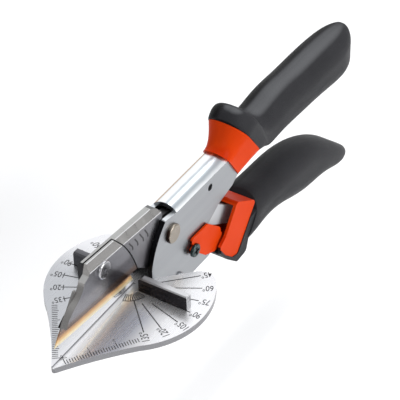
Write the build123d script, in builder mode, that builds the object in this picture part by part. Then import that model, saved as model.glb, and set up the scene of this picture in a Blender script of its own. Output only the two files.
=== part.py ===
from build123d import *
import os
from math import asin, cos, degrees, hypot, radians, sin, sqrt, tan

# Mitre shears: a heart-shaped protractor plate under a swinging razor blade, worked by two handles.
# +X runs from the tip to the handles, +Z is up from the plate, and the blade swings in the plane Y = 0.
# The origin is the centre of the protractor on the plate's top face, where the cut starts.
# The near side, with the screw heads, is -Y.

# Clearances and general sizes
running_clearance = 0.05
seat_clearance = 0.05
overrun = 1.0
edge_break = 0.3
hex_sides = 6

# Protractor plate
leaf_radius = 31.3
leaf_tip_reach = 50.2
leaf_tip_round = 1.2
leaf_front_hollow = 0.8
leaf_shoulder_angle = 140.0
leaf_thickness = 2.5
leaf_notch_x = 8.8
leaf_heel_round = 6.0
leaf_tongue_end = 17.0
groove_width = 1.2
groove_depth = 0.5
groove_end = 3.0

# Fence bars across the plate at 90 degrees
fence_setback = 6.8
fence_gap_half = 3.8
fence_thickness = 2.8
fence_height = 6.3
fence_chamfer = 0.4
fence_end_chamfer = 0.9
fence_screw_radius = 1.2
fence_screw_depth = 4.0
fence_screw_head_radius = 2.3
fence_screw_head_height = 1.4
fence_screw_inset = 4.5

# Steel channel: two cheeks joined by a round top, which runs back into the upper handle
channel_half = 5.0
channel_sheet = 1.8
channel_reach = 104.0
channel_fall = 0.8
arch_start = 24.7
arch_bend = 19.7
arch_rise = 2.5
cheek_lip = 20.9
cheek_lip_start = 17.6
cheek_front_middle = (11.0, 13.2)
cheek_foot_x = 7.4
cheek_foot_bend = 4.5
cheek_toe_x = 1.0
cheek_toe_drop = 4.0
cheek_sole = 15.9
cheek_sole_start = 11.0
cheek_heel_x = 46.6
cheek_heel_round = 2.0
cheek_elbow = (44.8, -0.6)
cheek_belly = (52.7, 3.7)
cheek_waist = (62.1, 5.8)
cheek_tail = (66.4, 8.6)
channel_floor = 11.5
channel_floor_start = 76.0
cheek_corner_round = 1.5

# Anvil block between the cheeks, under the plate
block_start = -14.0
block_end = 30.5
block_toe = 3.0
block_toe_run = 22.0
block_corner_round = 2.0
block_rivets = ((14.0, -9.0), (24.0, -11.4))
block_rivet_radius = 1.5
rivet_head_radius = 2.6
rivet_head_height = 0.9
rivet_head_round = 0.5
block_screw_places = (-8.5, 3.0)
block_screw_radius = 1.3
block_screw_bite = 1.7
block_screw_head_radius = 2.3
block_screw_head_height = 1.8

# Main pivot
pivot_x = 21.2
pivot_z = 12.6
pivot_radius = 2.5
pivot_head_radius = 3.9
pivot_head_height = 1.4
pivot_head_round = 0.7
pivot_nut_flats = 7.4
pivot_nut_height = 2.4
bush_wall = 0.9
open_angle = 6.1

# Hole through both cheeks behind the pivot, for hanging
hang_x = 47.2
hang_z = 15.4
hang_radius = 1.45

# Blade carrier, drawn in the frame of the closed blade with the pivot at 0, 0
carrier_half = 3.0
hub_radius = 7.2
carrier_hub_radius = 5.4
hip_height = 11.4
crown_height = 14.2
crown_half = 1.3
carrier_nose_setback = 3.8
carrier_back = ((-4.1, 7.1), (-4.0, 9.2), (-4.7, 11.4), (-6.4, 13.3), (-9.0, 14.2))
carrier_seat = (-2.5, -4.8)
carrier_heel = (-13.0, -8.9)
carrier_floor = 8.2
clamp_floor = 4.8
joint_gap = 0.6
joint_crown_run = 32.0
joint_foot_run = 19.4
joint_bulge = 0.8
carrier_rivet_ring = 5.1
carrier_rivet_radius = 0.9
carrier_rivet_angles = (150.0, 215.0)

# Razor blade, a trapezium held between the carrier and the clamp
blade_length = 50.0
blade_height = 18.2
blade_end_run = 11.5
blade_thickness = 0.6
blade_tip_run = 67.8
blade_drop = 12.3
bevel_height = 4.6
edge_thickness = 0.1
blade_hole_spread = 16.8
blade_hole_radius = 1.7
blade_hole_drop = 6.5
blade_notch_spread = 22.4
blade_notch_size = 2.4
blade_pin_bite = 1.7

# Clamp screw
clamp_screw_run = 42.0
clamp_screw_rise = 8.0
clamp_screw_radius = 1.6
clamp_screw_head_radius = 3.6
clamp_screw_head_height = 1.1
clamp_screw_head_round = 0.6
clamp_screw_bite = 2.4
recess_width = 0.9
recess_share = 0.62
recess_depth_share = 0.55
socket_share = 0.3

# Lever arm, a plate from the carrier's slot to the lower handle
arm_half = 1.5
arm_flange_half = 2.9
arm_flange_start = 7.7
arm_tongue = 12.0
arm_tongue_top = 6.0
arm_tongue_floor = 5.0
arm_reach = 92.0

# Return spring, standing on the arm under the channel's top
spring_x = 41.0
spring_seat_z = 9.0
spring_radius = 2.3
spring_wire = 0.45
spring_turns = 4

# Safety latch on the cheeks' rear corner
latch_x = 33.3
latch_z = -4.1
latch_reach = 20.0
latch_gap = 0.35
latch_room = 0.6
latch_sheet = 0.8
latch_pin_radius = 1.5
latch_hub_radius = 2.0
latch_bridge_depth = 1.4
latch_bridge_start = 16.0
latch_bridge_end = 33.0
latch_corner_round = 1.2
latch_head_radius = 2.7
latch_head_height = 1.2
latch_head_round = 0.5
latch_nut_flats = 5.4
latch_nut_height = 2.0

# Upper handle
upper_start = 57.0
upper_length = 94.0
upper_axis_z = 16.0
upper_depth = 18.4
upper_width = 17.6
oval_share = 0.92

# Lower handle, drawn in the frame of the closed blade
lower_start = 40.0
lower_length = 91.5
lower_axis = -23.0
lower_depth = 21.0
lower_width = 17.6
collar_half = 8.3
collar_wall = 1.2
collar_round = 1.6
guard_half = 8.7
guard_round = 2.2

# Shares of the sizes above, chosen to follow the object's outlines
arm_top_shares = ((0.06, 0.035), (0.18, -0.0201), (0.2565, -0.012), (0.412, -0.111), (0.534, -0.174),
                  (0.599, -0.204), (1.0, -0.234))
arm_floor_shares = ((1.0, -0.314), (0.609, -0.297), (0.564, -0.284), (0.423, -0.212), (0.310, -0.153),
                    (0.226, -0.101), (0.200, -0.084), (0.120, -0.077), (0.030, -0.070))
collar_shares = ((0.002, 0.71), (0.150, 0.39), (0.018, -0.46), (-0.023, -0.43), (-0.081, -0.24),
                 (-0.1246, -0.0095), (-0.0743, 0.162))
cavity_shares = ((-0.17, 0.85), (0.0142, 0.605), (0.1148, 0.40), (0.0656, -0.048), (-0.0164, -0.229),
                 (-0.07, -0.152), (-0.0743, -0.333), (-0.17, -0.333))
guard_shares = ((-0.150, 0.03), (-0.07, -0.354), (0.012, -0.62), (0.082, -0.56), (0.105, -0.20),
                (0.20, -0.10), (0.20, 0.20), (-0.02, 0.0))
upper_collar_shares = ((0.003, 0.370, 0.110, -0.533, 0.335), (0.030, 0.420, 0.140, -0.505, 0.345),
                       (0.062, 0.660, 0.192, -0.420, 0.410), (0.081, 0.860, 0.236, -0.326, 0.500))
upper_rib_shares = ((0.081, 0.880, 0.236, -0.326, 0.505), (0.108, 1.040, 0.258, -0.345, 0.525),
                    (0.150, 1.060, 0.277, -0.385, 0.525), (0.188, 0.800, 0.295, -0.440, 0.500),
                    (0.235, 0.545, 0.314, -0.495, 0.485), (0.383, 0.520, 0.388, -0.500, 0.489),
                    (0.564, 0.510, 0.564, -0.533, 0.500), (0.734, 0.485, 0.718, -0.598, 0.500),
                    (0.860, 0.445, 0.845, -0.680, 0.485), (0.925, 0.415, 0.910, -0.690, 0.435),
                    (0.970, 0.380, 0.960, -0.620, 0.340), (0.998, 0.345, 0.998, -0.480, 0.200))
lower_rib_shares = ((0.188, 0.390, 0.060, -0.524, 0.523), (0.270, 0.424, 0.214, -0.462, 0.506),
                    (0.368, 0.448, 0.362, -0.443, 0.494), (0.499, 0.457, 0.503, -0.557, 0.500),
                    (0.622, 0.381, 0.604, -0.625, 0.494), (0.754, 0.176, 0.710, -0.645, 0.477),
                    (0.872, -0.150, 0.816, -0.675, 0.443), (0.956, -0.430, 0.905, -0.735, 0.375),
                    (0.998, -0.630, 0.975, -0.760, 0.205))
wing_shares = ((-0.090, 0.275), (0.041, 0.275), (0.497, 0.262), (0.906, -0.114), (0.944, -0.494),
               (0.691, -0.545), (0.377, -0.411), (0.085, -0.125))
clamp_nose_shares = ((0.795, 0.718), (0.8375, 0.606), (0.869, 0.324), (0.9125, 0.155), (0.975, -0.085))
backing_nose_shares = ((0.756, 0.324), (0.7875, -0.014), (0.845, -0.204), (0.903, -0.366))
nose_foot_share = 0.956
clamp_foot_share = 1.009
carrier_front_share = 0.781

# Sizes that follow from the ones above
channel_inner = channel_half - channel_sheet
arch_radius = (channel_half**2 + arch_rise**2) / (2 * arch_rise)
fence_reach = leaf_radius - fence_setback
carrier_nose = blade_tip_run - carrier_nose_setback
carrier_front = carrier_front_share * carrier_nose
blade_half = blade_thickness / 2
slot_half = arm_half + seat_clearance
block_half = channel_inner - seat_clearance
wing_inner = channel_half + latch_gap
wing_outer = wing_inner + latch_sheet
cavity_half = collar_half - collar_wall
blade_top = blade_height - blade_drop
swing = Plane(
    origin=(pivot_x, 0, pivot_z),
    x_dir=(cos(radians(open_angle)), 0, -sin(radians(open_angle))),
    z_dir=(0, -1, 0),
)
side = Plane.XZ
os.makedirs("parts", exist_ok=True)


def save(piece, name):
    """Label one finished piece and write it under its own name."""
    piece.part.label = name
    export_step(piece.part, f"parts/{name}.step")


def swing_point(run, rise):
    """World point of a place in the closed blade's frame, at the photographed opening."""
    return swing.from_local_coords((run, rise, 0))


def rib_plane(top, bottom):
    """Plane through two points of the middle plane, square to it, facing the handle's end."""
    height = (top - bottom).length
    return Plane(
        origin=(top + bottom) / 2,
        x_dir=(0, 1, 0),
        z_dir=((top.Z - bottom.Z) / height, 0, (bottom.X - top.X) / height),
    )


def oval(half_width, half_depth):
    """A handle's cross-section, between a rectangle and an ellipse."""
    RectangleRounded(2 * half_width, 2 * half_depth, oval_share * min(half_width, half_depth))


def scaled(shares, length, height, start=(0, 0)):
    """Outline points from shares of a length and a height."""
    return [(start[0] + share[0] * length, start[1] + share[1] * height) for share in shares]


def upper_ribs(shares):
    """Planes and half sizes of an upper handle form, from shares of the handle's sizes."""
    for top_x, top_z, bottom_x, bottom_z, width in shares:
        top = Vector(upper_start + top_x * upper_length, 0, upper_axis_z + top_z * upper_depth)
        bottom = Vector(upper_start + bottom_x * upper_length, 0, upper_axis_z + bottom_z * upper_depth)
        yield rib_plane(top, bottom), width * upper_width, (top - bottom).length / 2


def lower_ribs(shares):
    """Planes and half sizes of the lower handle, from shares of the handle's sizes."""
    for top_u, top_v, bottom_u, bottom_v, width in shares:
        top = swing_point(lower_start + top_u * lower_length, lower_axis + top_v * lower_depth)
        bottom = swing_point(lower_start + bottom_u * lower_length, lower_axis + bottom_v * lower_depth)
        yield rib_plane(top, bottom), width * lower_width, (top - bottom).length / 2


# Protractor plate: a heart with a pointed tip, a notch at the back and a tongue between the cheeks
shoulder_x = leaf_radius * cos(radians(leaf_shoulder_angle))
shoulder_y = leaf_radius * sin(radians(leaf_shoulder_angle))
notch_skew = leaf_notch_x - channel_half
notch_step = (sqrt(2 * leaf_radius**2 - notch_skew**2) - leaf_notch_x - channel_half) / 2
heel_x = leaf_notch_x + notch_step
heel_y = channel_half + notch_step
leaf_slot_x = cheek_foot_x - seat_clearance
front_edge = hypot(shoulder_x + leaf_tip_reach, shoulder_y)
front_x = (shoulder_x - leaf_tip_reach) / 2 + leaf_front_hollow * shoulder_y / front_edge
front_y = shoulder_y / 2 - leaf_front_hollow * (shoulder_x + leaf_tip_reach) / front_edge
with BuildPart() as anvil_leaf:
    with BuildSketch() as leaf_outline:
        with BuildLine():
            Polyline((heel_x, heel_y), (leaf_notch_x, channel_half), (leaf_slot_x, channel_half),
                     (leaf_slot_x, block_half), (leaf_tongue_end, block_half),
                     (leaf_tongue_end, -block_half), (leaf_slot_x, -block_half),
                     (leaf_slot_x, -channel_half), (leaf_notch_x, -channel_half), (heel_x, -heel_y))
            ThreePointArc((heel_x, heel_y), (0, leaf_radius), (shoulder_x, shoulder_y))
            ThreePointArc((heel_x, -heel_y), (0, -leaf_radius), (shoulder_x, -shoulder_y))
            ThreePointArc((shoulder_x, shoulder_y), (front_x, front_y), (-leaf_tip_reach, 0))
            ThreePointArc((-leaf_tip_reach, 0), (front_x, -front_y), (shoulder_x, -shoulder_y))
        make_face()
        heels = leaf_outline.vertices().filter_by(lambda v: abs(v.X - heel_x) < edge_break)
        fillet(heels, radius=leaf_heel_round)
        fillet(leaf_outline.vertices().sort_by(Axis.X)[0], radius=leaf_tip_round)
    extrude(amount=-leaf_thickness)
    with BuildSketch(Plane.XY.offset(-groove_depth)):
        with Locations(((groove_end - leaf_tip_reach - overrun) / 2, 0)):
            Rectangle(leaf_tip_reach + groove_end + overrun, groove_width)
    extrude(amount=groove_depth + overrun, mode=Mode.SUBTRACT)
    fence_screw_ys = (fence_gap_half + fence_screw_inset, fence_reach - fence_screw_inset)
    with BuildSketch(Plane.XY.offset(-leaf_thickness - overrun)):
        with Locations([(fence_thickness / 2, way * y) for y in fence_screw_ys for way in (-1, 1)]):
            Circle(fence_screw_radius + seat_clearance)
    extrude(amount=leaf_thickness + 2 * overrun, mode=Mode.SUBTRACT)
    with BuildSketch(Plane.XY.offset(-leaf_thickness)):
        with Locations([(x, 0) for x in block_screw_places]):
            Circle(block_screw_radius + seat_clearance)
    extrude(amount=block_screw_bite + seat_clearance, mode=Mode.SUBTRACT)
save(anvil_leaf, "anvil_leaf")


# Fence bars and the screws that hold them from below
def fence_bar(way):
    """One bar beside the blade, screwed to the plate from below."""
    with BuildPart() as bar:
        with BuildSketch(Plane.XY):
            with Locations((fence_thickness / 2, way * (fence_gap_half + fence_reach) / 2)):
                Rectangle(fence_thickness, fence_reach - fence_gap_half)
        extrude(amount=fence_height)
        chamfer(bar.faces().sort_by(Axis.Z)[-1].edges().sort_by(Axis.Y)[way], length=fence_end_chamfer)
        chamfer(bar.faces().sort_by(Axis.Z)[-1].edges(), length=fence_chamfer)
        with BuildSketch(Plane.XY):
            with Locations([(fence_thickness / 2, way * y) for y in fence_screw_ys]):
                Circle(fence_screw_radius)
        extrude(amount=fence_screw_depth, mode=Mode.SUBTRACT)
    return bar


def fence_screw(way, place):
    """A pan-head screw from under the plate into a bar."""
    with BuildPart() as screw:
        with BuildSketch(Plane.XY.offset(-leaf_thickness)):
            with Locations((fence_thickness / 2, way * place)):
                Circle(fence_screw_radius - seat_clearance / 2)
        extrude(amount=leaf_thickness + fence_screw_depth - seat_clearance)
        with BuildSketch(Plane.XY.offset(-leaf_thickness)):
            with Locations((fence_thickness / 2, way * place)):
                Circle(fence_screw_head_radius)
        extrude(amount=-fence_screw_head_height)
        fillet(screw.faces().sort_by(Axis.Z)[0].edges(), radius=edge_break)
    return screw


for side_name, way in (("near", -1), ("far", 1)):
    save(fence_bar(way), f"fence_{side_name}")
    for end_name, place in zip(("inner", "outer"), fence_screw_ys):
        save(fence_screw(way, place), f"fence_screw_{side_name}_{end_name}")

# Steel channel: a profile with a shallow round top, cut to the cheeks' outline
arch_slope = -tan(radians(channel_fall))
arch_front_z = arch_bend - arch_start * arch_slope
arch_plane = Plane(
    origin=(0, 0, arch_front_z),
    x_dir=(0, 1, 0),
    z_dir=(cos(radians(channel_fall)), 0, -sin(radians(channel_fall))),
)
arch_centre = arch_rise - arch_radius
inner_radius = arch_radius - channel_sheet
inner_bend = arch_centre + sqrt(inner_radius**2 - channel_inner**2)
leg_length = arch_bend + cheek_sole + 2 * channel_half
profile_length = channel_reach / cos(radians(channel_fall)) + channel_half
sky = arch_front_z + arch_rise + channel_half


def arch_line(half, bend, top):
    """A shallow round top on two straight legs, drawn in the current line."""
    Polyline((half, bend), (half, -leg_length), (-half, -leg_length), (-half, bend))
    ThreePointArc((-half, bend), (0, top), (half, bend))


under_leaf = -leaf_thickness - seat_clearance
with BuildPart() as channel_envelope:
    with BuildSketch(arch_plane):
        with BuildLine():
            arch_line(channel_half, 0, arch_rise)
        make_face()
    extrude(amount=profile_length)
    with BuildSketch(Plane.YZ):
        Rectangle(2 * channel_half, 2 * sky)
    extrude(amount=arch_start)
    with BuildSketch(side) as cheek_outline:
        with BuildLine():
            Polyline((arch_start, sky), (arch_start, arch_bend), (cheek_lip_start, cheek_lip))
            ThreePointArc((cheek_lip_start, cheek_lip), cheek_front_middle, (cheek_foot_x, cheek_foot_bend))
            Polyline((cheek_foot_x, cheek_foot_bend), (cheek_foot_x, under_leaf),
                     (cheek_toe_x, under_leaf), (cheek_toe_x, under_leaf - cheek_toe_drop),
                     (cheek_sole_start, -cheek_sole), (cheek_heel_x, -cheek_sole), cheek_elbow,
                     cheek_belly, cheek_waist, cheek_tail, (channel_floor_start, channel_floor),
                     (channel_reach, channel_floor), (channel_reach, sky), (arch_start, sky))
        make_face()
        heel = cheek_outline.vertices().filter_by(
            lambda v: abs(v.X - cheek_heel_x) < edge_break and v.Y < under_leaf)
        fillet(heel, radius=cheek_heel_round)
        lip = cheek_outline.vertices().filter_by(
            lambda v: abs(v.X - cheek_lip_start) < edge_break and abs(v.Y - cheek_lip) < edge_break)
        fillet(lip, radius=cheek_corner_round)
    extrude(amount=channel_half + overrun, both=True, mode=Mode.INTERSECT)

with BuildPart() as frame_channel:
    add(channel_envelope.part)
    with BuildSketch(arch_plane):
        with BuildLine():
            arch_line(channel_inner, inner_bend, arch_rise - channel_sheet)
        make_face()
    extrude(amount=profile_length, mode=Mode.SUBTRACT)
    with BuildSketch(Plane.YZ):
        Rectangle(2 * channel_inner, 2 * sky)
    extrude(amount=arch_start, mode=Mode.SUBTRACT)
    with BuildSketch(side):
        with Locations((pivot_x, pivot_z)):
            Circle(pivot_radius + seat_clearance)
        with Locations((hang_x, hang_z)):
            Circle(hang_radius)
        with Locations((latch_x, latch_z)):
            Circle(latch_pin_radius + seat_clearance)
        with Locations(block_rivets):
            Circle(block_rivet_radius + seat_clearance)
    extrude(amount=channel_half + overrun, both=True, mode=Mode.SUBTRACT)
save(frame_channel, "frame_channel")

# Anvil block: carries the plate between the cheeks
with BuildPart() as anvil_block:
    with BuildSketch(side) as block_outline:
        with BuildLine():
            Polyline((block_start, -leaf_thickness), (block_end, -leaf_thickness), (block_end, -cheek_sole),
                     (block_start + block_toe_run, -cheek_sole),
                     (block_start, -leaf_thickness - block_toe), close=True)
        make_face()
        fillet(block_outline.vertices().sort_by(Axis.Y)[:2], radius=block_corner_round)
    extrude(amount=block_half, both=True)
    with BuildSketch(side):
        with Locations(block_rivets):
            Circle(block_rivet_radius + seat_clearance)
    extrude(amount=channel_half, both=True, mode=Mode.SUBTRACT)
    with BuildSketch(Plane.XY.offset(-cheek_sole - overrun)):
        with Locations([(x, 0) for x in block_screw_places]):
            Circle(block_screw_radius + seat_clearance)
    extrude(amount=cheek_sole + overrun, mode=Mode.SUBTRACT)
    with BuildSketch(Plane.XY.offset(-leaf_thickness - block_toe)):
        with Locations([(x, 0) for x in block_screw_places]):
            Circle(block_screw_head_radius + seat_clearance)
    extrude(amount=-cheek_sole, mode=Mode.SUBTRACT)
save(anvil_block, "anvil_block")

for end_name, place in zip(("front", "rear"), block_screw_places):
    with BuildPart() as block_screw:
        with BuildSketch(Plane.XY.offset(-leaf_thickness - block_toe)):
            with Locations((place, 0)):
                Circle(block_screw_radius)
        extrude(amount=block_toe + block_screw_bite)
        with BuildSketch(Plane.XY.offset(-leaf_thickness - block_toe)):
            with Locations((place, 0)):
                Circle(block_screw_head_radius)
        extrude(amount=-block_screw_head_height)
        with BuildSketch(Plane.XY.offset(-leaf_thickness - block_toe - block_screw_head_height)):
            with Locations((place, 0)):
                RegularPolygon(radius=block_screw_radius, side_count=hex_sides)
        extrude(amount=block_screw_head_height * recess_depth_share, mode=Mode.SUBTRACT)
    save(block_screw, f"block_screw_{end_name}")

for end_name, place in zip(("front", "rear"), block_rivets):
    with BuildPart() as block_rivet:
        with BuildSketch(side):
            with Locations(place):
                Circle(block_rivet_radius)
        extrude(amount=channel_half + rivet_head_height, both=True)
        for face_plane in (side.offset(channel_half), side.offset(-channel_half - rivet_head_height)):
            with BuildSketch(face_plane):
                with Locations(place):
                    Circle(rivet_head_radius)
            extrude(amount=rivet_head_height)
        rims = block_rivet.edges().filter_by(GeomType.CIRCLE).group_by(Axis.Y)
        fillet(rims[0] + rims[-1], radius=rivet_head_round)
    save(block_rivet, f"block_rivet_{end_name}")

# Main pivot: a domed bolt, its nut, and the bush that turns on it
with BuildPart() as pivot_bolt:
    with BuildSketch(side.offset(channel_half)):
        with Locations((pivot_x, pivot_z)):
            Circle(pivot_head_radius)
    extrude(amount=pivot_head_height)
    fillet(pivot_bolt.faces().sort_by(Axis.Y)[0].edges(), radius=pivot_head_round)
    with BuildSketch(side.offset(channel_half)):
        with Locations((pivot_x, pivot_z)):
            Circle(pivot_radius)
    extrude(amount=-2 * channel_half - pivot_nut_height - edge_break)
save(pivot_bolt, "pivot_bolt")

with BuildPart() as pivot_nut:
    with BuildSketch(side.offset(-channel_half)):
        with Locations((pivot_x, pivot_z)):
            RegularPolygon(radius=pivot_nut_flats / 2, side_count=hex_sides, major_radius=False)
            Circle(pivot_radius + seat_clearance, mode=Mode.SUBTRACT)
    extrude(amount=-pivot_nut_height)
save(pivot_nut, "pivot_nut")

bush_radius = pivot_radius + running_clearance + bush_wall
with BuildPart() as pivot_bush:
    with BuildSketch(swing):
        Circle(bush_radius)
        Circle(pivot_radius + running_clearance, mode=Mode.SUBTRACT)
    extrude(amount=carrier_half, both=True)
save(pivot_bush, "pivot_bush")

# Lever arm: a flat plate from the carrier's slot, round the pivot and down into the lower handle
carrier_rivet_places = [
    (carrier_rivet_ring * cos(radians(angle)), carrier_rivet_ring * sin(radians(angle)))
    for angle in carrier_rivet_angles
]
with BuildPart() as lever_arm:
    with BuildSketch(swing):
        Circle(hub_radius)
        with Locations((-arm_tongue / 2, (arm_tongue_top - arm_tongue_floor) / 2)):
            Rectangle(arm_tongue, arm_tongue_top + arm_tongue_floor)
        with BuildLine():
            Polyline(*scaled(arm_top_shares + arm_floor_shares, arm_reach, arm_reach), close=True)
        make_face()
        Circle(bush_radius + seat_clearance, mode=Mode.SUBTRACT)
        with Locations(carrier_rivet_places):
            Circle(carrier_rivet_radius + seat_clearance, mode=Mode.SUBTRACT)
    extrude(amount=arm_half, both=True)
    with BuildSketch(swing):
        with BuildLine():
            Polyline(*scaled(arm_top_shares + arm_floor_shares, arm_reach, arm_reach), close=True)
        make_face()
        Circle(arm_flange_start, mode=Mode.SUBTRACT)
    extrude(amount=arm_flange_half, both=True)
save(lever_arm, "lever_arm")

# Blade carrier: hipped top, near half cut away for the blade and its clamp, slot for the arm
nose_x = -carrier_nose


def joint_line(foot, crown, bulge):
    """Curved joint between the clamp's rear end and the carrier."""
    middle = (-(foot + crown) / 2 + bulge, (crown_height - clamp_floor) / 2 + bulge)
    ThreePointArc((-foot, -clamp_floor), middle, (-crown, crown_height))


with BuildPart() as hip_bar:
    with BuildSketch(Plane(origin=swing_point(nose_x - overrun, 0), x_dir=(0, 1, 0), z_dir=swing.x_dir)):
        with BuildLine():
            Polyline((-carrier_half, -2 * hub_radius), (carrier_half, -2 * hub_radius),
                     (carrier_half, hip_height), (crown_half, crown_height), (-crown_half, crown_height),
                     (-carrier_half, hip_height), close=True)
        make_face()
    extrude(amount=carrier_nose + 2 * hub_radius)

with BuildPart() as blade_carrier:
    with BuildSketch(swing):
        Circle(carrier_hub_radius)
        with BuildLine():
            Polyline((-carrier_front, crown_height), *scaled(backing_nose_shares, nose_x, crown_height),
                     (nose_foot_share * nose_x, -carrier_floor), (-joint_foot_run, -carrier_floor),
                     carrier_heel, carrier_seat, (0, 0), *carrier_back, (-carrier_front, crown_height))
        make_face()
    extrude(amount=carrier_half, both=True)
    add(hip_bar.part, mode=Mode.INTERSECT)
    with BuildSketch(swing.offset(-blade_half)):
        with BuildLine():
            joint_line(joint_foot_run, joint_crown_run, joint_bulge)
            Polyline((-joint_crown_run, crown_height), (-joint_crown_run, crown_height + overrun),
                     (nose_x - overrun, crown_height + overrun),
                     (nose_x - overrun, carrier_heel[1] - overrun),
                     (carrier_heel[0], carrier_heel[1] - overrun), carrier_heel, (-joint_foot_run, -clamp_floor))
        make_face()
    extrude(amount=carrier_half + blade_thickness, mode=Mode.SUBTRACT)
    with BuildSketch(swing):
        with Locations((-arm_tongue - seat_clearance, hub_radius + seat_clearance)):
            Rectangle(arm_tongue + 2 * hub_radius, 2 * crown_height, align=(Align.MIN, Align.MAX))
    extrude(amount=slot_half, both=True, mode=Mode.SUBTRACT)
    with BuildSketch(swing):
        Circle(bush_radius + seat_clearance)
        with Locations(carrier_rivet_places):
            Circle(carrier_rivet_radius + seat_clearance)
    extrude(amount=carrier_half + overrun, both=True, mode=Mode.SUBTRACT)
    pin_places = [(-blade_tip_run + blade_length / 2 + way * blade_hole_spread / 2,
                   blade_top - blade_hole_drop) for way in (-1, 1)]
    with BuildSketch(swing.offset(-blade_half)):
        with Locations(pin_places):
            Circle(blade_hole_radius)
        with Locations((-clamp_screw_run, clamp_screw_rise)):
            Circle(clamp_screw_radius + seat_clearance)
    extrude(amount=-clamp_screw_bite - seat_clearance, mode=Mode.SUBTRACT)
save(blade_carrier, "blade_carrier")

for end_name, place in zip(("front", "rear"), carrier_rivet_places):
    with BuildPart() as carrier_rivet:
        with BuildSketch(swing):
            with Locations(place):
                Circle(carrier_rivet_radius)
        extrude(amount=carrier_half, both=True)
    save(carrier_rivet, f"carrier_rivet_{end_name}")

# Clamp plate: the near half of the hipped nose, over the blade
clamp_foot = joint_foot_run + joint_gap
clamp_crown = joint_crown_run + joint_gap
with BuildPart() as blade_clamp:
    with BuildSketch(swing):
        with BuildLine():
            nose_line = scaled(clamp_nose_shares, nose_x, crown_height)
            Polyline((-carrier_front, crown_height), *nose_line[:2])
            Spline(*nose_line[1:], (clamp_foot_share * nose_x, -clamp_floor))
            Line((clamp_foot_share * nose_x, -clamp_floor), (-clamp_foot, -clamp_floor))
            joint_line(clamp_foot, clamp_crown, joint_bulge)
            Line((-clamp_crown, crown_height), (-carrier_front, crown_height))
        make_face()
    extrude(amount=carrier_half)
    add(hip_bar.part, mode=Mode.INTERSECT)
    with BuildSketch(swing):
        Rectangle(2 * blade_tip_run, 2 * blade_tip_run)
    extrude(amount=blade_half, mode=Mode.SUBTRACT)
    with BuildSketch(swing.offset(blade_half)):
        with Locations(pin_places):
            Circle(blade_hole_radius)
    extrude(amount=blade_pin_bite + seat_clearance, mode=Mode.SUBTRACT)
    with BuildSketch(swing):
        with Locations((-clamp_screw_run, clamp_screw_rise)):
            Circle(clamp_screw_radius + seat_clearance)
    extrude(amount=carrier_half + overrun, mode=Mode.SUBTRACT)
save(blade_clamp, "blade_clamp")

# Razor blade: a trapezium with two holes, two notches and a bevelled edge
with BuildPart() as blade:
    with BuildSketch(swing):
        with BuildLine():
            Polyline((-blade_tip_run, -blade_drop), (blade_length - blade_tip_run, -blade_drop),
                     (blade_length - blade_end_run - blade_tip_run, blade_top),
                     (blade_end_run - blade_tip_run, blade_top), close=True)
        make_face()
        with Locations(pin_places):
            Circle(blade_hole_radius, mode=Mode.SUBTRACT)
        notch_middle = blade_length / 2 - blade_tip_run
        with Locations([(notch_middle + way * blade_notch_spread / 2, blade_top) for way in (-1, 1)]):
            Rectangle(blade_notch_size, 2 * blade_notch_size, mode=Mode.SUBTRACT)
    extrude(amount=blade_half, both=True)
    bevel_end = swing_point(-blade_tip_run - overrun, -blade_drop)
    with BuildSketch(Plane(origin=bevel_end, x_dir=(0, 1, 0), z_dir=swing.x_dir)):
        for way in (-1, 1):
            with BuildLine():
                Polyline((way * edge_thickness / 2, 0), (way * blade_half, bevel_height),
                         (way * (blade_half + overrun), bevel_height),
                         (way * (blade_half + overrun), -overrun),
                         (way * edge_thickness / 2, -overrun), close=True)
            make_face()
    extrude(amount=blade_length + 2 * overrun, mode=Mode.SUBTRACT)
save(blade, "blade")

for end_name, place in zip(("front", "rear"), pin_places):
    with BuildPart() as blade_pin:
        with BuildSketch(swing):
            with Locations(place):
                Circle(blade_hole_radius - seat_clearance)
        extrude(amount=blade_half + blade_pin_bite, both=True)
    save(blade_pin, f"blade_pin_{end_name}")


# Screws with a domed head on a face of the near side
def cross_recess(head_radius):
    """A cross recess, drawn in the current sketch."""
    Rectangle(2 * head_radius * recess_share, recess_width)
    Rectangle(recess_width, 2 * head_radius * recess_share)


def hex_recess(head_radius):
    """A small hexagon socket, drawn in the current sketch."""
    RegularPolygon(radius=head_radius * socket_share, side_count=hex_sides)


def domed_screw(plane, place, recess, head_radius, head_height, head_round, shank_radius, shank_length):
    """A pan-head screw whose head stands on plane and whose shank goes into it."""
    with BuildPart() as screw:
        with BuildSketch(plane):
            with Locations(place):
                Circle(head_radius)
        extrude(amount=head_height)
        fillet(screw.faces().sort_by(Axis.Y)[0].edges(), radius=head_round)
        with BuildSketch(plane.offset(head_height)):
            with Locations(place):
                recess(head_radius)
        extrude(amount=-head_height * recess_depth_share, mode=Mode.SUBTRACT)
        with BuildSketch(plane):
            with Locations(place):
                Circle(shank_radius)
        extrude(amount=-shank_length)
    return screw


save(domed_screw(swing.offset(carrier_half), (-clamp_screw_run, clamp_screw_rise), hex_recess,
                 clamp_screw_head_radius, clamp_screw_head_height, clamp_screw_head_round,
                 clamp_screw_radius, carrier_half + blade_half + clamp_screw_bite), "clamp_screw")

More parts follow.
